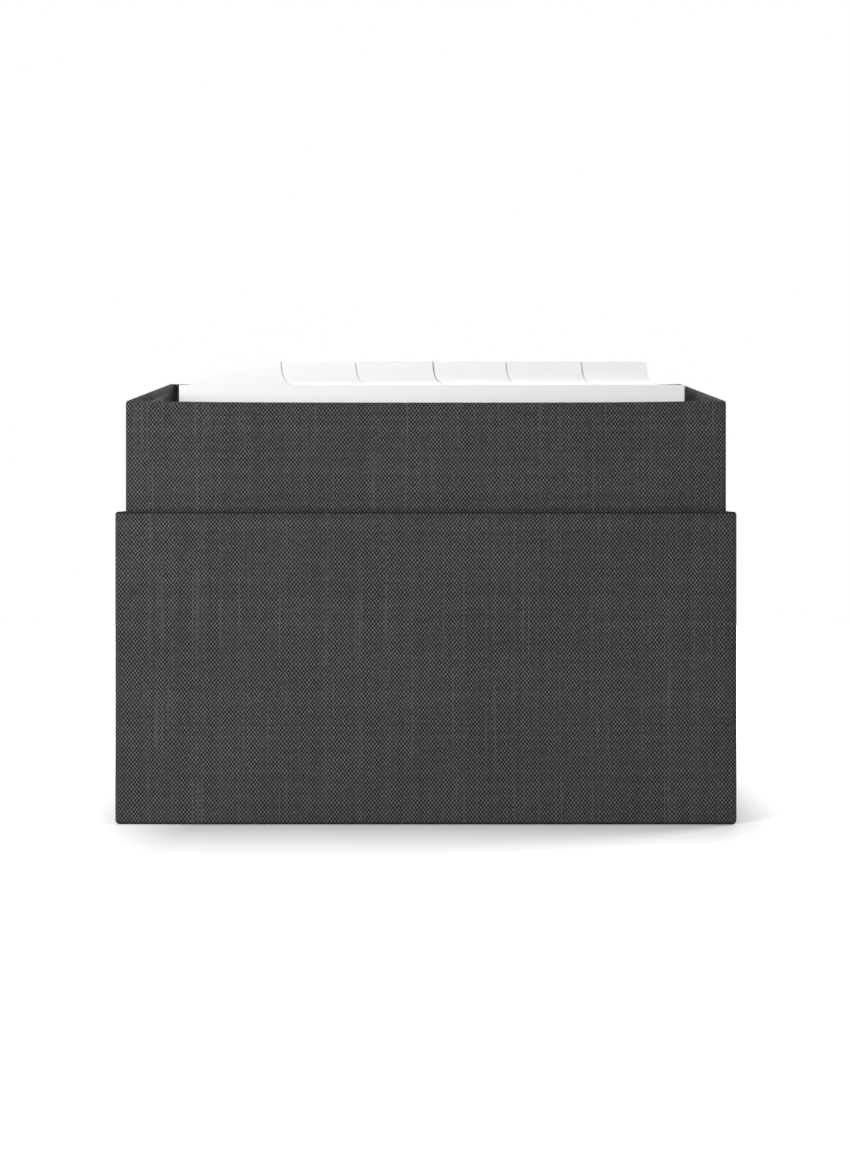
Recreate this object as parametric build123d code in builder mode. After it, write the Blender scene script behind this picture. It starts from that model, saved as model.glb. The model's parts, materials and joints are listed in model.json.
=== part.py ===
from build123d import *
from collections import namedtuple
from math import radians, sqrt, tan
import os

# Card storage box, in millimetres. A cloth-covered card tray with tabbed dividers stands in a lower,
# cloth-covered outer box. The front faces -Y, and the outer box stands on Z = 0 about the origin.

# Sheet materials
cloth = 0.35  # book cloth with its glue
board = 1.6  # grey board
lining = 0.35  # lining paper with its glue
card_stock = 0.35  # dividers

# Covered boxes
outer_height = 101.9
tray_front_height = 135.2  # above the tray's own base
tray_rise = 11.4  # from the tray's front rim to its back rim
fit_gap = 0.7  # between the tray and the outer box, on every side
edge_radius = 1.5  # upright corners and base edges of the cloth
rim_radius = 1.0  # both edges of a rim
rim_turn_in = 2.0  # cloth that shows inside the rim, above the lining
base_turn_in = 15.0  # cloth folded under the base

# Room around the dividers in the tray
left_room = 9.0
right_room = 5.2
card_room = 107.3  # in front of the dividers and behind them together
front_card_room = 50.3

# Tabbed dividers, numbered from the front
divider_width = 177.8
divider_height = 141.3  # up to the shoulder beside the tab
divider_gap = 0.15
wide_gap = 0.4  # behind the middle divider
sideways_slip = (0.2, 0.0, 0.6, 0.0, 0.2, 0.0)  # loose dividers don't stand quite in line
tab_width = 27.0  # along the top
tab_height = 8.4
left_tab_margin = 8.6  # from the divider's left edge to the first tab
right_tab_margin = 9.7  # from the last tab's place to the divider's right edge
last_tab_inset = 3.0  # the last tab is cut further in than its place
flank_lean = 5.5  # degrees
tab_foot_radius = 5.2
tab_corner_radius = 1.0

# Sizes that follow from these
wall = cloth + board + max(cloth, lining)
floor = cloth + board + lining
rim_round = min(rim_radius, 0.48 * wall)  # a rim keeps a flat along its top
divider_count = len(sideways_slip)
stack_depth = divider_count * card_stock + (divider_count - 2) * divider_gap + wide_gap
tab_pitch = (divider_width - left_tab_margin - tab_width - right_tab_margin) / (divider_count - 1)

BoxSize = namedtuple("BoxSize", "width depth front_height back_height base")
tray = BoxSize(
    width=left_room + divider_width + right_room + 2 * wall,
    depth=card_room + stack_depth + 2 * wall,
    front_height=tray_front_height,
    back_height=tray_front_height + tray_rise,
    base=floor,
)
outer = BoxSize(
    width=tray.width + 2 * (fit_gap + wall),
    depth=tray.depth + 2 * (fit_gap + wall),
    front_height=outer_height,
    back_height=outer_height,
    base=0.0,
)

os.makedirs("parts", exist_ok=True)


def write(part, name):
    """Labels a finished piece and writes it to its own file."""
    part.label = name
    export_step(part, f"parts/{name}.step")


def rim_level(size, y, below):
    """Height of the sloping rim plane at y, moved square to itself by below."""
    slope = (size.back_height - size.front_height) / size.depth
    middle = size.base + (size.front_height + size.back_height) / 2
    return middle + slope * y - below * sqrt(1 + slope**2)


def block(size, inset, below):
    """Solid block of a box, moved in by inset at its sides and base, and by below at its rim."""
    half = size.depth / 2 - inset
    bottom = size.base + inset
    with BuildPart() as solid:
        with BuildSketch(Plane.YZ.offset(inset - size.width / 2)):
            with BuildLine():
                Polyline(
                    (-half, bottom),
                    (half, bottom),
                    (half, rim_level(size, half, below)),
                    (-half, rim_level(size, -half, below)),
                    close=True,
                )
            make_face()
        extrude(amount=size.width - 2 * inset)
    return solid.part


def cup(size, inset, cavity_inset):
    """Open-topped shell between two insets, with rounded corners, base edges and rim."""
    with BuildPart() as shell:
        add(block(size, inset, inset))
        corners = shell.edges().filter_by(Axis.Z)
        base_edges = shell.faces().sort_by(Axis.Z)[0].edges()
        fillet(corners + base_edges, edge_radius - inset)
        add(block(size, cavity_inset, -wall), mode=Mode.SUBTRACT)
        rim = shell.faces().sort_by(Axis.Z)[-1]
        fillet(rim.edges(), rim_round - inset)
    return shell.part


def board_panel(carcass, name, low, high):
    """One board of a carcass: what lies between two opposite corners."""
    with BuildPart() as panel:
        add(carcass)
        with BuildSketch(Plane.XY.offset(low[2])):
            with Locations(((low[0] + high[0]) / 2, (low[1] + high[1]) / 2)):
                Rectangle(high[0] - low[0], high[1] - low[1])
        extrude(amount=high[2] - low[2], mode=Mode.INTERSECT)
    write(panel.part, name)


def covered_box(name, size):
    """A box of five boards, with the cloth around them and the paper that lines them."""
    carcass = cup(size, cloth, cloth + board)
    x = size.width / 2
    y = size.depth / 2
    inner_x = x - cloth - board
    inner_y = y - cloth - board
    floor_top = size.base + cloth + board
    top = size.base + max(size.front_height, size.back_height)

    # Boards: the walls stand on the floor, and the side walls fit between the front and the back
    board_panel(carcass, f"{name}_floor_board", (-x, -y, size.base), (x, y, floor_top))
    board_panel(carcass, f"{name}_front_board", (-x, -y, floor_top), (x, -inner_y, top))
    board_panel(carcass, f"{name}_back_board", (-x, inner_y, floor_top), (x, y, top))
    board_panel(carcass, f"{name}_left_board", (-x, -inner_y, floor_top), (-inner_x, inner_y, top))
    board_panel(carcass, f"{name}_right_board", (inner_x, -inner_y, floor_top), (x, inner_y, top))

    # Panel that fills the field inside the cloth's turn-in under the base
    with BuildPart() as base_panel:
        with BuildSketch(Plane.XY.offset(size.base)):
            Rectangle(size.width - 2 * base_turn_in, size.depth - 2 * base_turn_in)
        extrude(amount=cloth)
    write(base_panel.part, f"{name}_base_panel")

    # Lining: a sheet on the floor, and a strip from there up to the cloth folded over the rim
    with BuildPart() as floor_lining:
        with BuildSketch(Plane.XY.offset(floor_top)):
            Rectangle(2 * inner_x, 2 * inner_y)
        extrude(amount=lining)
    write(floor_lining.part, f"{name}_floor_lining")
    with BuildPart() as wall_lining:
        add(block(size, cloth + board, rim_turn_in))
        add(block(size, cloth + board + lining, -wall), mode=Mode.SUBTRACT)
        add(floor_lining.part, mode=Mode.SUBTRACT)
    write(wall_lining.part, f"{name}_wall_lining")

    # Cloth: up the outside, over the rim and down inside, and folded under the base
    with BuildPart() as cloth_wrap:
        add(cup(size, 0, cloth + board + cloth))
        add(carcass, mode=Mode.SUBTRACT)
        add(block(size, cloth + board, rim_turn_in), mode=Mode.SUBTRACT)
        add(base_panel.part, mode=Mode.SUBTRACT)
    write(cloth_wrap.part, f"{name}_cloth_wrap")


def tab_left(number):
    """Left end of a divider's tab along its top, from the divider's left edge."""
    inset = last_tab_inset if number == divider_count else 0
    return left_tab_margin + (number - 1) * tab_pitch - inset


def tabbed_divider(number, left, front):
    """Card divider with one tab, whose flanks sweep out into the shoulders."""
    bottom = tray.base + floor
    shoulder = bottom + divider_height
    tab_start = left + tab_left(number)
    tab_end = tab_start + tab_width
    splay = tab_height * tan(radians(flank_lean))
    with BuildPart() as divider:
        with BuildSketch(Plane.XZ.offset(-front)) as face:
            with BuildLine():
                Polyline(
                    (left, bottom),
                    (left + divider_width, bottom),
                    (left + divider_width, shoulder),
                    (tab_end + splay, shoulder),
                    (tab_end, shoulder + tab_height),
                    (tab_start, shoulder + tab_height),
                    (tab_start - splay, shoulder),
                    (left, shoulder),
                    close=True,
                )
            make_face()
            upper = face.vertices().group_by(Axis.Y)[-1]
            feet = face.vertices().group_by(Axis.Y)[-2].sort_by(Axis.X)[1:-1]
            fillet(upper, tab_corner_radius)
            fillet(feet, tab_foot_radius)
        extrude(amount=-card_stock)
    write(divider.part, f"divider_{number}")


covered_box("outer", outer)
covered_box("tray", tray)

divider_front = wall + front_card_room - tray.depth / 2
for number, slip in enumerate(sideways_slip, start=1):
    tabbed_divider(number, wall + left_room - tray.width / 2 + slip, divider_front)
    gap_behind = wide_gap if number == divider_count // 2 else divider_gap
    divider_front += card_stock + gap_behind
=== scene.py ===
import json
import math

import bmesh
import bpy
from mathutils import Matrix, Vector


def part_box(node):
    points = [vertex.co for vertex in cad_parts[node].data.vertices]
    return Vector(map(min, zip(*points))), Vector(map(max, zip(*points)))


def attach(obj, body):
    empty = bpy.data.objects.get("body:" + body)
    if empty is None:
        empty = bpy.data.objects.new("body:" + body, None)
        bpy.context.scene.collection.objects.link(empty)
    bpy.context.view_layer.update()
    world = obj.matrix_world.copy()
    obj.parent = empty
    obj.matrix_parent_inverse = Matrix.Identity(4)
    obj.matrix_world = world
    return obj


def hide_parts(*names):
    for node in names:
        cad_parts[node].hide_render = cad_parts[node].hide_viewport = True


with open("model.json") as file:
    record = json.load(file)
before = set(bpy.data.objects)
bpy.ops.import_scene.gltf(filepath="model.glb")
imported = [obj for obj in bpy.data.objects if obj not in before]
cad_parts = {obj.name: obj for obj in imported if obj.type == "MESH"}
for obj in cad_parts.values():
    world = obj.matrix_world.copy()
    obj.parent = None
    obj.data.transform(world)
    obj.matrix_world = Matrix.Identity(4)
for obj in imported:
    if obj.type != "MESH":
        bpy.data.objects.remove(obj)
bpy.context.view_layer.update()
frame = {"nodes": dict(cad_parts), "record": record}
MM = 0.001


def add_object(name, data):
    """A new object with this data, in the scene."""
    added = bpy.data.objects.new(name, data)
    bpy.context.scene.collection.objects.link(added)
    return added


# Camera: level, a little above the outer box's rim, with its lens shifted down to frame the box
PHOTO_HEIGHT = 1169
SENSOR_HEIGHT = 36.0
FOCAL_PIXELS = 2067
HORIZON_ROW = 485
CAMERA_PLACE = (-0.0003, -0.7332, 0.1106)

camera_data = bpy.data.cameras.new("camera")
camera_data.sensor_fit = "VERTICAL"
camera_data.sensor_height = SENSOR_HEIGHT
camera_data.lens = SENSOR_HEIGHT * FOCAL_PIXELS / PHOTO_HEIGHT
camera_data.shift_y = (HORIZON_ROW - PHOTO_HEIGHT / 2) / PHOTO_HEIGHT
camera = add_object("camera", camera_data)
camera.location = CAMERA_PLACE
camera.rotation_euler = (math.radians(90), 0, 0)
bpy.context.scene.camera = camera
bpy.context.scene.view_settings.view_transform = "Standard"

# Sizes of the covered boxes, in metres
BASE_LOW, BASE_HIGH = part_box("outer_base_panel")
BOARD_LOW, BOARD_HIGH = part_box("outer_floor_board")
CLOTH = BASE_HIGH.z - BASE_LOW.z
BOARD = BOARD_HIGH.z - BOARD_LOW.z
WALL = CLOTH + BOARD + CLOTH
EDGE_RADIUS = 1.5 * MM
RIM_RADIUS = 1.0 * MM
RIM_TURN_IN = 2.0 * MM
BASE_TURN_IN = 15.0 * MM

# Steps of the cloth's mesh
BASE_STEPS = 2
WALL_STEPS = 30
RIM_STEPS = 4
BEND_STEPS = 6
SIDE_STEPS = 40
WELD = 0.001 * MM  # points that lie closer than this are one

# Rim of the tray's cloth
CORNER_LIFT = 0.5 * MM
RIM_SAG = 0.2 * MM
SAG_POWER = 4  # how near to the corners the rim starts to rise

# Painted shade along the cloth's bends at the base and the rim, where shadow falls at the edges and the joins
PAINTED_SHADE_DEPTH = 0.9 * MM
PAINTED_SHADE_FADE = 0.5 * MM
PAINTED_SHADE_SHARE = 0.95  # of the warp's light, taken away by the painted shade on a full bend
TRAY_RIM_PAINTED_SHADE = 0.1

# Plain weave of the book cloth
WARP_PITCH = 0.605 * MM
WEFT_PITCH = 0.74 * MM
THREAD_WANDER = 0.25 * MM
WANDER_RUNS = ((90.0, 1.0), (14.0, 6.0))  # noise scale, and its share of the wander
THREAD_POWER = 0.6  # fullness of a thread's rounding
CROWN_POWER = 1.5  # narrowness of the light crown of a warp thread
THREAD_VARIATION = 0.14
KNOT_SHARE = 2.0  # of a crossing's own tone, against the tone of a thread
STREAK_SCALE = (900.0, 40.0, 1.0)
MEAN_TONE = 2.5  # half of all the shares of tone together
DARK_THREAD = (0.0094, 0.0094, 0.0096, 1)
LIGHT_THREAD = (0.101, 0.101, 0.1027, 1)
DYE_SCALE = 35.0  # clouds in the dye
DYE_LEAST = 0.85
DYE_SPAN = 0.3
WEFT_ROUGHNESS = 0.95
CROWN_POLISH = 0.12  # the crowns of the warp are smoother by this
WEAVE_RELIEF = 0.15 * MM

# Slubs of the warp
SLUB_LEVEL = 0.72
SLUB_RARITY = 0.82  # share of warp threads without a slub
SLUB_SCALE = 30.0
SLUB_START = 0.48
SLUB_FULL = 0.64
SLUB_POWER = 6.0

# Tabbed dividers
FLANK_LEAN = math.radians(5.5)
TAB_FOOT_RADIUS = 5.2 * MM
TAB_CORNER_RADIUS = 1.0 * MM
ROUND_POINTS = 10  # on each rounded corner of a tab
EDGE_CUTS = 2  # between the points of the top edge
SHEET_ROWS = 12
TOUCH = 0.01 * MM  # points of a CAD node within this of its edge lie on the edge
DIVIDER_BOWS = (0.02 * MM, 0.04 * MM, -0.02 * MM, 0.03 * MM, 0.02 * MM, 0.05 * MM)


# Node helpers

VECTOR = "NodeSocketVector"
FLOAT = "NodeSocketFloat"


def feed(tree, socket, value):
    """Sets a socket to a value, or links the socket that feeds it."""
    if isinstance(value, bpy.types.NodeSocket):
        tree.links.new(value, socket)
    else:
        socket.default_value = value


def put(tree, kind, inputs=(), **settings):
    """Adds a node. Inputs, by index or name, are values or the sockets that feed them."""
    node = tree.nodes.new(kind)
    for name, value in settings.items():
        setattr(node, name, value)
    pairs = inputs.items() if isinstance(inputs, dict) else enumerate(inputs)
    for key, value in pairs:
        feed(tree, node.inputs[key], value)
    return node


def calc(tree, operation, *values):
    """A Math node's result."""
    return put(tree, "ShaderNodeMath", values, operation=operation).outputs[0]


def mix_colour(tree, factor, first, second, blend="MIX"):
    """A Mix node's colour."""
    inputs = {0: factor, 6: first, 7: second}  # the node has sockets for other types in between
    return put(tree, "ShaderNodeMix", inputs, data_type="RGBA", blend_type=blend).outputs[2]


def noise_at(tree, vector, scale, detail=2.0, roughness=0.5):
    """A noise texture's value, from 0 to 1."""
    inputs = {"Vector": vector, "Scale": scale, "Detail": detail, "Roughness": roughness}
    return put(tree, "ShaderNodeTexNoise", inputs).outputs[0]


def chance_of(tree, number):
    """A random value from 0 to 1 that belongs to a number."""
    return put(tree, "ShaderNodeTexWhiteNoise", {"W": number}, noise_dimensions="1D").outputs[0]


def new_group(name, kind, inputs, outputs):
    """An empty node group with named sockets, and its input and output nodes."""
    tree = bpy.data.node_groups.new(name, kind)
    for socket, socket_type in inputs.items():
        tree.interface.new_socket(socket, in_out="INPUT", socket_type=socket_type)
    for socket, socket_type in outputs.items():
        tree.interface.new_socket(socket, in_out="OUTPUT", socket_type=socket_type)
    return tree, tree.nodes.new("NodeGroupInput"), tree.nodes.new("NodeGroupOutput")


# Shader groups

def make_plain_weave():
    """Plain weave on a flat cloth position in metres, with threads that wander and vary.

    Light is 1 on the crown of a warp thread and 0 on the weft, and slubs are warp threads that show as light lines.
    """
    inputs = {"Cloth": VECTOR, "Warp Pitch": FLOAT, "Weft Pitch": FLOAT}
    inputs |= {"Wander": FLOAT, "Variation": FLOAT, "Slubs": FLOAT}
    outputs = {"Height": FLOAT, "Light": FLOAT, "Tone": FLOAT}
    tree, given, result = new_group("plain_weave", "ShaderNodeTree", inputs, outputs)
    cloth = given.outputs["Cloth"]
    across, up, _ = put(tree, "ShaderNodeSeparateXYZ", [cloth]).outputs

    # Threads wander a little from side to side, and over a longer run they stray from upright and level
    for scale, share in WANDER_RUNS:
        drift = put(tree, "ShaderNodeTexNoise", {"Vector": cloth, "Scale": scale, "Detail": 1.0})
        drift_x, drift_y, _ = put(tree, "ShaderNodeSeparateXYZ", [drift.outputs["Color"]]).outputs
        reach = calc(tree, "MULTIPLY", given.outputs["Wander"], share)
        across = calc(tree, "MULTIPLY_ADD", calc(tree, "SUBTRACT", drift_x, 0.5), reach, across)
        up = calc(tree, "MULTIPLY_ADD", calc(tree, "SUBTRACT", drift_y, 0.5), reach, up)
    warp = calc(tree, "DIVIDE", across, given.outputs["Warp Pitch"])
    weft = calc(tree, "DIVIDE", up, given.outputs["Weft Pitch"])

    # Threads pass over and under by turns
    warp_wave = calc(tree, "COSINE", calc(tree, "MULTIPLY", warp, math.pi))
    weft_wave = calc(tree, "COSINE", calc(tree, "MULTIPLY", weft, math.pi))
    crossing = calc(tree, "MULTIPLY", warp_wave, weft_wave)
    height = calc(tree, "POWER", calc(tree, "ABSOLUTE", crossing), THREAD_POWER)
    signed = calc(tree, "MULTIPLY", height, calc(tree, "SIGN", crossing))
    light = calc(tree, "POWER", calc(tree, "MULTIPLY_ADD", signed, 0.5, 0.5), CROWN_POWER)

    # Slubs come and go along single warp threads
    warp_number = calc(tree, "ROUND", warp)
    weft_number = calc(tree, "ROUND", weft)
    warp_chance = chance_of(tree, warp_number)
    run = put(tree, "ShaderNodeCombineXYZ", [warp_number, calc(tree, "MULTIPLY", up, SLUB_SCALE)]).outputs[0]
    run_noise = noise_at(tree, run, scale=1.0, detail=1.0)
    run_limits = {"Value": run_noise, "From Min": SLUB_START, "From Max": SLUB_FULL}
    slub = put(tree, "ShaderNodeMapRange", run_limits).outputs[0]
    slub = calc(tree, "MULTIPLY", slub, calc(tree, "GREATER_THAN", warp_chance, SLUB_RARITY))
    profile = calc(tree, "MULTIPLY", calc(tree, "POWER", warp_wave, SLUB_POWER), given.outputs["Slubs"])
    light = calc(tree, "MAXIMUM", light, calc(tree, "MULTIPLY", slub, profile))

    # Each thread and each crossing has its own tone
    knot = put(tree, "ShaderNodeCombineXYZ", [warp_number, weft_number]).outputs[0]
    knot_chance = put(tree, "ShaderNodeTexWhiteNoise", {"Vector": knot}, noise_dimensions="2D").outputs[0]
    streaks = put(tree, "ShaderNodeVectorMath", [cloth, STREAK_SCALE], operation="MULTIPLY").outputs[0]
    threads = calc(tree, "ADD", warp_chance, chance_of(tree, weft_number))
    total = calc(tree, "ADD", threads, calc(tree, "MULTIPLY", knot_chance, KNOT_SHARE))
    total = calc(tree, "ADD", total, noise_at(tree, streaks, scale=1.0))
    tone = calc(tree, "MULTIPLY_ADD", calc(tree, "SUBTRACT", total, MEAN_TONE), given.outputs["Variation"], 1.0)

    feed(tree, result.inputs["Height"], height)
    feed(tree, result.inputs["Light"], light)
    feed(tree, result.inputs["Tone"], tone)
    return tree


def make_paper_fibre():
    """Fibres and cloudy formation of paper or board, on a position in metres."""
    inputs = {"Position": VECTOR, "Fibre Scale": FLOAT, "Cloud Scale": FLOAT}
    outputs = {"Fibre": FLOAT, "Cloud": FLOAT}
    tree, given, result = new_group("paper_fibre", "ShaderNodeTree", inputs, outputs)
    position = given.outputs["Position"]
    fibre = noise_at(tree, position, given.outputs["Fibre Scale"], detail=4.0, roughness=0.65)
    cloud = noise_at(tree, position, given.outputs["Cloud Scale"], detail=3.0)
    feed(tree, result.inputs["Fibre"], fibre)
    feed(tree, result.inputs["Cloud"], cloud)
    return tree


PLAIN_WEAVE = make_plain_weave()
PAPER_FIBRE = make_paper_fibre()


# Materials

def new_material(name, **sockets):
    """A material with a Principled BSDF, whose constant sockets are set by name."""
    material = bpy.data.materials.new(name)
    material.use_nodes = True
    shader = material.node_tree.nodes["Principled BSDF"]
    for socket, value in sockets.items():
        shader.inputs[socket.replace("_", " ")].default_value = value
    return material, material.node_tree, shader


def object_position(tree):
    """The place on a piece, in metres."""
    return put(tree, "ShaderNodeTexCoord").outputs["Object"]


def bump(tree, shader, height, depth, strength):
    """Fine relief of that depth in metres."""
    node = put(tree, "ShaderNodeBump", {"Height": height, "Distance": depth, "Strength": strength})
    feed(tree, shader.inputs["Normal"], node.outputs[0])


def make_book_cloth(name, on_own_map):
    """Charcoal book cloth in plain weave: light warp over dark weft, with painted shade on the bend of an edge."""
    material, tree, shader = new_material(name, Specular_IOR_Level=0.06, Sheen_Weight=0.07, Sheen_Roughness=0.4)
    if on_own_map:
        position = put(tree, "ShaderNodeUVMap", uv_map="cloth").outputs[0]
    else:
        position = object_position(tree)
    thread = {"Cloth": position, "Warp Pitch": WARP_PITCH, "Weft Pitch": WEFT_PITCH}
    thread |= {"Wander": THREAD_WANDER, "Variation": THREAD_VARIATION, "Slubs": SLUB_LEVEL}
    weave = put(tree, "ShaderNodeGroup", thread, node_tree=PLAIN_WEAVE).outputs

    # Colour: threads, painted shade on the bends, and clouds in the dye
    painted_shade = put(tree, "ShaderNodeAttribute", attribute_name="painted_shade").outputs["Fac"]
    # The painted shade takes the warp's light away along the bends
    light = calc(tree, "MULTIPLY", weave["Light"], calc(tree, "MULTIPLY_ADD", painted_shade, -PAINTED_SHADE_SHARE, 1.0))
    threads = mix_colour(tree, light, DARK_THREAD, LIGHT_THREAD)
    cloud = noise_at(tree, position, DYE_SCALE, detail=3.0)
    dye = calc(tree, "MULTIPLY_ADD", cloud, DYE_SPAN, DYE_LEAST)
    level = calc(tree, "MULTIPLY", weave["Tone"], dye)
    grey = put(tree, "ShaderNodeCombineColor", [level, level, level]).outputs[0]
    feed(tree, shader.inputs["Base Color"], mix_colour(tree, 1.0, threads, grey, "MULTIPLY"))

    roughness = calc(tree, "MULTIPLY_ADD", weave["Light"], -CROWN_POLISH, WEFT_ROUGHNESS)
    feed(tree, shader.inputs["Roughness"], roughness)
    bump(tree, shader, weave["Height"], depth=WEAVE_RELIEF, strength=0.6)
    return material


def make_paper(name, specular, fibre_scale, cloud_scale, fibre_share, dark, light, rough, relief, strength):
    """Paper, card or board, mottled by its fibres and its clouds.

    rough names the one that roughens the surface, the least roughness and what it adds.
    """
    material, tree, shader = new_material(name, Specular_IOR_Level=specular)
    scales = {"Position": object_position(tree), "Fibre Scale": fibre_scale, "Cloud Scale": cloud_scale}
    paper = put(tree, "ShaderNodeGroup", scales, node_tree=PAPER_FIBRE).outputs
    clouds = calc(tree, "MULTIPLY", paper["Cloud"], 1 - fibre_share)
    shade = calc(tree, "MULTIPLY_ADD", paper["Fibre"], fibre_share, clouds)
    feed(tree, shader.inputs["Base Color"], mix_colour(tree, shade, dark, light))
    source, least, added = rough
    feed(tree, shader.inputs["Roughness"], calc(tree, "MULTIPLY_ADD", paper[source], added, least))
    bump(tree, shader, paper["Fibre"], depth=relief, strength=strength)
    return material


WRAP_CLOTH = make_book_cloth("book_cloth_wrap", True)
PANEL_CLOTH = make_book_cloth("book_cloth_panel", False)

# Smooth charcoal lining paper
LINING_PAPER = make_paper(
    "lining_paper",
    specular=0.08,
    fibre_scale=2500.0,
    cloud_scale=60.0,
    fibre_share=0.5,
    dark=(0.037, 0.037, 0.0375, 1),
    light=(0.058, 0.058, 0.0588, 1),
    rough=("Fibre", 0.45, 0.15),
    relief=0.03 * MM,
    strength=0.4,
)

# Grey board made of mixed waste paper, with dark and light flecks
GREY_BOARD = make_paper(
    "grey_board",
    specular=0.2,
    fibre_scale=1200.0,
    cloud_scale=90.0,
    fibre_share=0.7,
    dark=(0.19, 0.18, 0.165, 1),
    light=(0.42, 0.41, 0.385, 1),
    rough=("Cloud", 0.85, 0.1),
    relief=0.05 * MM,
    strength=0.5,
)

# Bright white uncoated card
CARD_STOCK = make_paper(
    "card_stock",
    specular=0.35,
    fibre_scale=3000.0,
    cloud_scale=150.0,
    fibre_share=0.6,
    dark=(0.915, 0.919, 0.93, 1),
    light=(0.95, 0.951, 0.956, 1),
    rough=("Fibre", 0.62, 0.12),
    relief=0.02 * MM,
    strength=0.35,
)


# Cloth wraps

def clamp(value):
    """The value, held between 0 and 1."""
    return min(max(value, 0.0), 1.0)


def line(start, end, steps):
    """Points of a straight run, after its first point."""
    return [tuple(a + (b - a) * step / steps for a, b in zip(start, end)) for step in range(1, steps + 1)]


def on_circle(centre, radius, angle):
    """Point at an angle in degrees on a circle."""
    turn = math.radians(angle)
    return centre[0] + radius * math.cos(turn), centre[1] + radius * math.sin(turn)


def arc(centre, radius, start, end):
    """Points of an arc from one angle to another, after its first point."""
    angles = [start + (end - start) * step / BEND_STEPS for step in range(1, BEND_STEPS + 1)]
    return [on_circle(centre, radius, angle) for angle in angles]


def section(height, inset):
    """One face of the cloth in the wall's section, from under the base to inside the rim.

    A point is its depth from the box's side and its height, and inset moves it into the cloth.
    """
    base_round = EDGE_RADIUS - inset
    rim_round = RIM_RADIUS - inset
    rim_centre = height - RIM_RADIUS
    points = [(BASE_TURN_IN, inset)]
    points += line(points[-1], (EDGE_RADIUS, inset), BASE_STEPS)
    points += arc((EDGE_RADIUS, EDGE_RADIUS), base_round, 270, 180)
    points += line(points[-1], (inset, height - 2 * RIM_RADIUS), WALL_STEPS)
    points += line(points[-1], (inset, rim_centre), RIM_STEPS)
    points += arc((RIM_RADIUS, rim_centre), rim_round, 180, 90)
    points += line(points[-1], (WALL - RIM_RADIUS, height - inset), 1)
    points += arc((WALL - RIM_RADIUS, rim_centre), rim_round, 90, 0)
    points += line(points[-1], (WALL - inset, height - RIM_TURN_IN), 1)
    return points


def ring(half_x, half_y, radius):
    """Points round a rounded rectangle, from the back right corner by the back, with corners mitred at radius 0."""
    corners = []
    for sign_x, sign_y, angle in ((1, 1, 0), (-1, 1, 90), (-1, -1, 180), (1, -1, 270)):
        centre = (sign_x * (half_x - radius), sign_y * (half_y - radius))
        angles = [angle + 90 * step / BEND_STEPS for step in range(BEND_STEPS + 1)]
        corners.append([on_circle(centre, radius, turn) for turn in angles])
    points = []
    for corner, next_corner in zip(corners, corners[1:] + corners[:1]):
        points += corner
        points += line(corner[-1], next_corner[0], SIDE_STEPS)[:-1]
    return points


def running_lengths(points):
    """Length of the run up to each of its points."""
    lengths = [0.0]
    for before, after in zip(points, points[1:]):
        lengths.append(lengths[-1] + math.dist(before, after))
    return lengths


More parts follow.
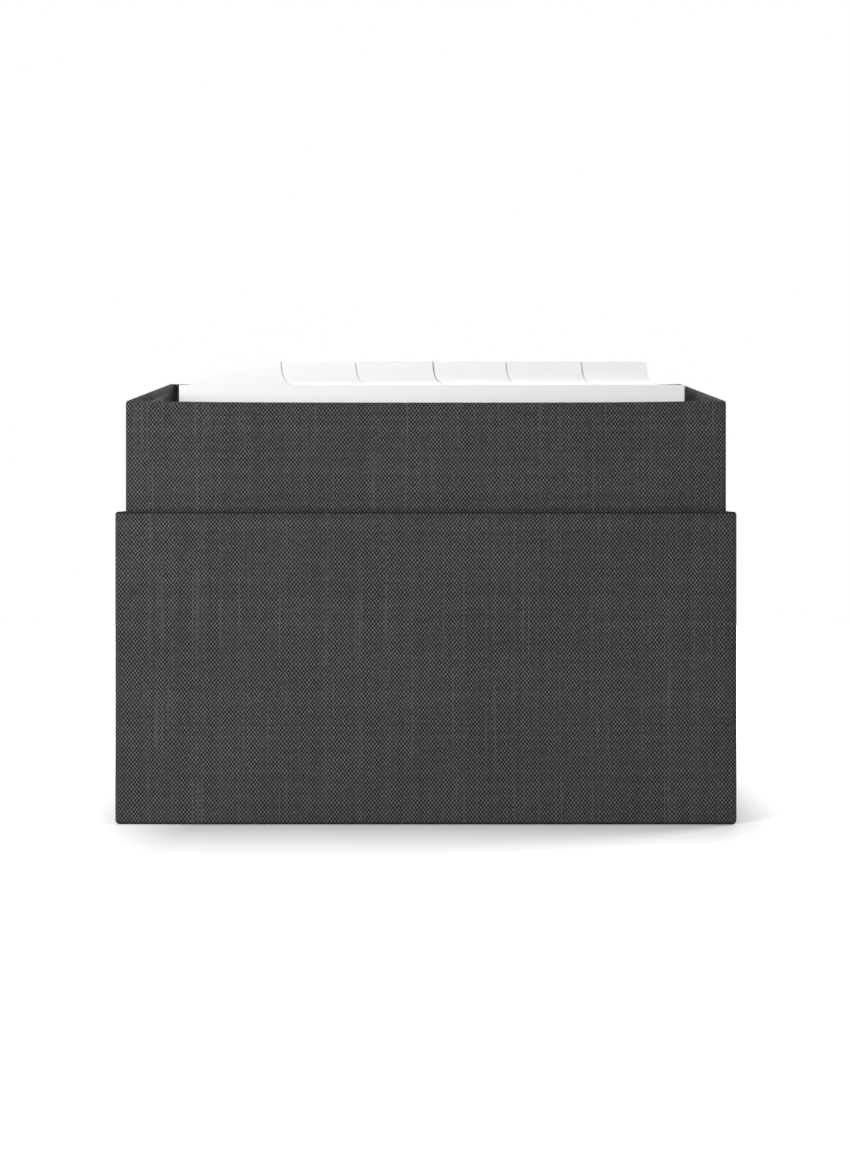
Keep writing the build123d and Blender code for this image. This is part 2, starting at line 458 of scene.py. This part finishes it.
def cloth_wrap(name, node, front_board, back_board, corner_lift, sag, rim_painted_shade):
    """Cloth round a covered box: up the outside, over the rim, down inside and folded under the base.

    Doubled cloth lifts the rim at the sides and corners, and between them the front and the back sag. The painted
    shade on the bends is full along the base, and takes the given share of that along the rim.
    """
    low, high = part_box(node)
    half_x = (high.x - low.x) / 2
    half_y = (high.y - low.y) / 2
    front_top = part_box(front_board)[1].z + CLOTH
    back_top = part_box(back_board)[1].z + CLOTH
    slope = (back_top - front_top) / (2 * half_y)
    height = (front_top + back_top) / 2 - low.z
    outside = section(height, 0.0)
    loop = outside + section(height, CLOTH)[::-1]
    outer_ring = ring(half_x, half_y, EDGE_RADIUS)

    # Lengths along the section and around the box, so that the weave runs unstretched over the rim
    along = running_lengths(loop)
    around = running_lengths(outer_ring + outer_ring[:1])

    # Rings of points: the walls take up the rim's slope, and only the cloth at the rim lifts and sags
    build = bmesh.new()
    cloth_map = build.loops.layers.uv.new("cloth")
    painted_shade = build.verts.layers.float.new("painted_shade")
    rings = []
    rise = []
    for depth, level in loop:
        points = ring(half_x - depth, half_y - depth, max(EDGE_RADIUS - depth, 0.0))
        follow = clamp((level - EDGE_RADIUS) / (height - EDGE_RADIUS - RIM_TURN_IN))
        loose = clamp((level - height + RIM_TURN_IN) / (RIM_TURN_IN - RIM_RADIUS))
        lifts = []
        for x, y in points:
            near_corner = (abs(x) / half_x) ** SAG_POWER
            lifts.append(follow * slope * y + loose * ((corner_lift + sag) * near_corner - sag))
        rise.append(lifts)
        rings.append([build.verts.new((x, y, low.z + level + lift)) for (x, y), lift in zip(points, lifts)])
        # Painted shade on the bends at the base and the rim, on the cloth's outer side only
        bend = clamp((PAINTED_SHADE_DEPTH - min(level, height - level)) / PAINTED_SHADE_FADE)
        bend *= rim_painted_shade if level > height / 2 else 1.0
        outer_side = clamp((WALL - RIM_RADIUS - depth) / (WALL - 2 * RIM_RADIUS))
        for vertex in rings[-1]:
            vertex[painted_shade] = bend * outer_side

    # Faces between the rings, with the weave's map
    rows = len(loop)
    columns = len(outer_ring)
    for row in range(rows):
        next_row = (row + 1) % rows
        far_row = max(row, next_row)
        for column in range(columns):
            next_column = (column + 1) % columns
            corners = [(row, column), (row, next_column), (next_row, next_column), (next_row, column)]
            spots = [(column, row), (column + 1, row), (column + 1, far_row), (column, far_row)]
            face = build.faces.new([rings[i][j] for i, j in reversed(corners)])
            face.smooth = True
            for corner, (i, j), (u, v) in zip(face.loops, reversed(corners), reversed(spots)):
                corner[cloth_map].uv = (around[u], along[v] + rise[i][j])

    # The cloth's cut edges, under the base and inside the rim, stay sharp
    for row in (0, len(outside) - 1, len(outside), rows - 1):
        for before, after in zip(rings[row], rings[row][1:] + rings[row][:1]):
            build.edges.get((before, after)).smooth = False
    bmesh.ops.remove_doubles(build, verts=build.verts, dist=WELD)
    bmesh.ops.dissolve_degenerate(build, edges=build.edges, dist=WELD)
    bmesh.ops.recalc_face_normals(build, faces=build.faces)
    mesh = bpy.data.meshes.new(name)
    build.to_mesh(mesh)
    build.free()
    mesh.materials.append(WRAP_CLOTH)
    return add_object(name, mesh)


outer_wrap = cloth_wrap(
    "outer_cloth",
    "outer_cloth_wrap",
    "outer_front_board",
    "outer_back_board",
    corner_lift=0.0,
    sag=0.0,
    rim_painted_shade=1.0,
)
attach(outer_wrap, "outer_box")
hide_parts("outer_cloth_wrap")
tray_wrap = cloth_wrap(
    "tray_cloth",
    "tray_cloth_wrap",
    "tray_front_board",
    "tray_back_board",
    corner_lift=CORNER_LIFT,
    sag=RIM_SAG,
    rim_painted_shade=TRAY_RIM_PAINTED_SHADE,
)
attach(tray_wrap, "card_tray")
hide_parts("tray_cloth_wrap")


# Tabbed dividers

DIVIDER_SIZES = ["Left", "Right", "Bottom", "Shoulder", "Top", "Tab Start", "Tab End", "Splay"]
DIVIDER_SIZES += ["Foot Radius", "Corner Radius", "Front", "Thickness", "Bow"]


def index_switch(tree, kind, values):
    """The value that belongs to a point's number."""
    node = put(tree, "GeometryNodeIndexSwitch", data_type=kind)
    for _ in values[2:]:
        node.index_switch_items.new()
    feed(tree, node.inputs[0], put(tree, "GeometryNodeInputIndex").outputs[0])
    for number, value in enumerate(values, start=1):
        feed(tree, node.inputs[number], value)
    return node.outputs[0]


def make_divider_tree():
    """Card divider with one tab: a sheet whose columns end on the rounded outline of its top edge."""
    inputs = dict.fromkeys(DIVIDER_SIZES, FLOAT) | {"Material": "NodeSocketMaterial"}
    outputs = {"Geometry": "NodeSocketGeometry"}
    tree, given, result = new_group("tabbed_divider", "GeometryNodeTree", inputs, outputs)
    tree.is_modifier = True
    size = given.outputs

    # Top edge with the tab, from left to right
    foot_left = calc(tree, "SUBTRACT", size["Tab Start"], size["Splay"])
    foot_right = calc(tree, "ADD", size["Tab End"], size["Splay"])
    corners = [(size["Left"], size["Shoulder"]), (foot_left, size["Shoulder"]), (size["Tab Start"], size["Top"])]
    corners += [(size["Tab End"], size["Top"]), (foot_right, size["Shoulder"]), (size["Right"], size["Shoulder"])]
    places = [put(tree, "ShaderNodeCombineXYZ", {"X": x, "Z": z}).outputs[0] for x, z in corners]
    radii = [0.0, size["Foot Radius"], size["Corner Radius"], size["Corner Radius"], size["Foot Radius"], 0.0]
    curve = put(tree, "GeometryNodeCurvePrimitiveLine").outputs[0]
    curve = put(tree, "GeometryNodeResampleCurve", {"Curve": curve, "Count": len(corners)}).outputs[0]
    outline = {"Geometry": curve, "Position": index_switch(tree, "VECTOR", places)}
    curve = put(tree, "GeometryNodeSetPosition", outline).outputs[0]
    rounding = {"Curve": curve, "Count": ROUND_POINTS, "Radius": index_switch(tree, "FLOAT", radii)}
    curve = put(tree, "GeometryNodeFilletCurve", rounding, mode="POLY").outputs[0]
    curve = put(tree, "GeometryNodeSubdivideCurve", {"Curve": curve, "Cuts": EDGE_CUTS}).outputs[0]

    # Sheet under that edge, bowed a little towards its middle
    count = put(tree, "GeometryNodeAttributeDomainSize", [curve], component="CURVE").outputs["Point Count"]
    grid = {"Size X": 1.0, "Size Y": 1.0, "Vertices X": count, "Vertices Y": SHEET_ROWS}
    sheet = put(tree, "GeometryNodeMeshGrid", grid).outputs[0]
    position = put(tree, "GeometryNodeInputPosition").outputs[0]
    column, row, _ = put(tree, "ShaderNodeSeparateXYZ", [position]).outputs
    last = calc(tree, "SUBTRACT", count, 1.0)
    number = calc(tree, "ROUND", calc(tree, "MULTIPLY", calc(tree, "ADD", column, 0.5), last))
    sample = {"Geometry": curve, "Value": position, "Index": number}
    edge = put(tree, "GeometryNodeSampleIndex", sample, data_type="FLOAT_VECTOR", domain="POINT").outputs[0]
    edge_x, _, edge_z = put(tree, "ShaderNodeSeparateXYZ", [edge]).outputs
    up = calc(tree, "ADD", row, 0.5)
    level = calc(tree, "MULTIPLY_ADD", calc(tree, "SUBTRACT", edge_z, size["Bottom"]), up, size["Bottom"])
    width = calc(tree, "SUBTRACT", size["Right"], size["Left"])
    share = calc(tree, "DIVIDE", calc(tree, "SUBTRACT", edge_x, size["Left"]), width)
    bend = calc(tree, "MULTIPLY", calc(tree, "SINE", calc(tree, "MULTIPLY", share, math.pi)), up)
    back = calc(tree, "ADD", size["Front"], size["Thickness"])
    depth = calc(tree, "MULTIPLY_ADD", bend, size["Bow"], back)
    place = put(tree, "ShaderNodeCombineXYZ", [edge_x, depth, level]).outputs[0]
    sheet = put(tree, "GeometryNodeSetPosition", {"Geometry": sheet, "Position": place}).outputs[0]

    # Thickness
    forward = put(tree, "ShaderNodeCombineXYZ", [0.0, -1.0, 0.0]).outputs[0]
    thicken = {"Mesh": sheet, "Offset": forward, "Offset Scale": size["Thickness"], "Individual": False}
    front = put(tree, "GeometryNodeExtrudeMesh", thicken, mode="FACES").outputs[0]
    rear = put(tree, "GeometryNodeFlipFaces", [sheet]).outputs[0]
    joined = put(tree, "GeometryNodeJoinGeometry")
    feed(tree, joined.inputs[0], front)
    feed(tree, joined.inputs[0], rear)
    card = put(tree, "GeometryNodeMergeByDistance", {"Geometry": joined.outputs[0], "Distance": WELD}).outputs[0]
    card = put(tree, "GeometryNodeRealizeInstances", [card]).outputs[0]
    card = put(tree, "GeometryNodeSetMaterial", {"Geometry": card, "Material": size["Material"]}).outputs[0]
    feed(tree, result.inputs[0], card)
    return tree


def bake(name, tree, values):
    """An object with the mesh that a geometry tree makes of these values."""
    piece = add_object(name, bpy.data.meshes.new(name))
    modifier = piece.modifiers.new("shape", "NODES")
    modifier.node_group = tree
    for item in tree.interface.items_tree:
        if item.in_out == "INPUT":
            modifier[item.identifier] = values[item.name]
    ready = piece.evaluated_get(bpy.context.evaluated_depsgraph_get())
    mesh = bpy.data.meshes.new_from_object(ready)
    piece.modifiers.remove(modifier)
    piece.data = mesh
    mesh.name = name
    return piece


def tabbed_divider(number, tree, bow):
    """Divider in the place of its CAD node, whose tab is found from that node's top edge."""
    node = f"divider_{number}"
    low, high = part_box(node)
    points = [vertex.co for vertex in frame["nodes"][node].data.vertices]
    top_run = [point.x for point in points if point.z > high.z - TOUCH]
    shoulder = max(point.z for point in points if point.x < low.x + TOUCH)
    corner_run = TAB_CORNER_RADIUS / math.tan((math.pi / 2 + FLANK_LEAN) / 2)
    values = {"Left": low.x, "Right": high.x, "Bottom": low.z, "Shoulder": shoulder, "Top": high.z}
    values |= {"Tab Start": min(top_run) - corner_run, "Tab End": max(top_run) + corner_run}
    values |= {"Splay": (high.z - shoulder) * math.tan(FLANK_LEAN)}
    values |= {"Foot Radius": TAB_FOOT_RADIUS, "Corner Radius": TAB_CORNER_RADIUS}
    values |= {"Front": low.y, "Thickness": high.y - low.y, "Bow": bow, "Material": CARD_STOCK}
    piece = bake(f"card_{number}", tree, values)
    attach(piece, f"divider_{number}_body")
    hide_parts(node)


DIVIDER_TREE = make_divider_tree()
for number, bow in enumerate(DIVIDER_BOWS, start=1):
    tabbed_divider(number, DIVIDER_TREE, bow)


# CAD nodes get their finish, which shows on those that no piece replaces
SLOT_MATERIALS = {
    "book_cloth": PANEL_CLOTH,
    "lining_paper": LINING_PAPER,
    "grey_board": GREY_BOARD,
    "card_stock": CARD_STOCK,
}
for subpart in frame["record"]["subparts"]:
    cad_node = frame["nodes"][subpart["node"]]
    cad_node.data.materials.clear()
    cad_node.data.materials.append(SLOT_MATERIALS[subpart["material_slot"]])


# Stage: white floor, white background and soft light

FLOOR_HALF = 0.9
FLOOR_DROP = 0.02 * MM
FLOOR_BOUNCE = (0.8, 0.8, 0.8, 1)  # for the light that the floor passes on
FLOOR_SEEN = (0.74, 0.74, 0.74, 1)
SHADOW_LEFT = -0.075  # field around the object that keeps its full shadow, without painted glow
SHADOW_RIGHT = 0.1
SHADOW_DEPTH = 0.06
SIDE_FADE = 2.6  # the painted glow rises this much faster beside the object than before it, so the shadow fades faster there
# distance from that field at which the painted glow is full
FADE_REACH = 0.17
WORLD_LEVEL = 0.05
WHITE = (1, 1, 1, 1)


def seen_directly(tree):
    """1 for a ray from the camera, off gloss or through glass, and 0 for light on its way to a surface."""
    path = put(tree, "ShaderNodeLightPath")
    seen = calc(tree, "MAXIMUM", path.outputs["Is Camera Ray"], path.outputs["Is Glossy Ray"])
    return calc(tree, "MAXIMUM", seen, path.outputs["Is Transmission Ray"])


def make_floor_white():
    """White floor with a painted glow, seen directly, that rises with distance from the object: the shadow stays
    close to the object and fades into the white background.
    """
    material, tree, shader = new_material("floor_white", Roughness=0.9, Specular_IOR_Level=0.1, Emission_Color=WHITE)
    x, y, _ = put(tree, "ShaderNodeSeparateXYZ", [object_position(tree)]).outputs
    right = calc(tree, "SUBTRACT", x, SHADOW_RIGHT)
    left = calc(tree, "SUBTRACT", SHADOW_LEFT, x)
    beside = calc(tree, "MAXIMUM", calc(tree, "MAXIMUM", right, left), 0.0)
    before = calc(tree, "MAXIMUM", calc(tree, "SUBTRACT", calc(tree, "ABSOLUTE", y), SHADOW_DEPTH), 0.0)
    away = put(tree, "ShaderNodeCombineXYZ", [calc(tree, "MULTIPLY", beside, SIDE_FADE), before]).outputs[0]
    distance = put(tree, "ShaderNodeVectorMath", [away], operation="LENGTH").outputs["Value"]
    # Painted light: the floor glows, seen directly, more the further it is from the object
    painted_glow = put(tree, "ShaderNodeMapRange", {"Value": distance, "From Max": FADE_REACH}).outputs[0]
    seen = seen_directly(tree)
    feed(tree, shader.inputs["Emission Strength"], calc(tree, "MULTIPLY", painted_glow, seen))
    feed(tree, shader.inputs["Base Color"], mix_colour(tree, seen, FLOOR_BOUNCE, FLOOR_SEEN))
    return material


floor_corners = [(-1, -1), (1, -1), (1, 1), (-1, 1)]
floor_mesh = bpy.data.meshes.new("floor")
floor_mesh.from_pydata([(x * FLOOR_HALF, y * FLOOR_HALF, -FLOOR_DROP) for x, y in floor_corners], [], [(0, 1, 2, 3)])
floor_mesh.materials.append(make_floor_white())
floor = add_object("floor", floor_mesh)

world = bpy.data.worlds.new("studio")
bpy.context.scene.world = world
world.use_nodes = True
sky = world.node_tree
levels = {"Value": seen_directly(sky), "To Min": WORLD_LEVEL, "To Max": 1.0}
background = sky.nodes["Background"]
background.inputs["Color"].default_value = WHITE
feed(sky, background.inputs["Strength"], put(sky, "ShaderNodeMapRange", levels).outputs[0])


def area_light(name, place, target, size, power):
    """A square soft box that faces a point."""
    light = bpy.data.lights.new(name, "AREA")
    light.size = size
    light.energy = power
    lamp = add_object(name, light)
    lamp.location = place
    lamp.rotation_euler = (Vector(target) - Vector(place)).to_track_quat("-Z", "Y").to_euler()


area_light("key_light", place=(-0.46, -0.66, 0.2), target=(0, -0.05, 0.09), size=0.25, power=5.2)
area_light("front_light", place=(-0.12, -0.91, 0.42), target=(0, 0, 0.1), size=0.35, power=1.1)
area_light("right_light", place=(0.5, 0.22, 0.22), target=(0, 0, 0.1), size=0.24, power=2.2)
area_light("rear_light", place=(0.3, 0.91, 0.25), target=(0, 0, 0.08), size=0.35, power=4.8)
area_light("top_light", place=(0, -0.12, 1.1), target=(0, 0, 0.07), size=0.8, power=7.0)
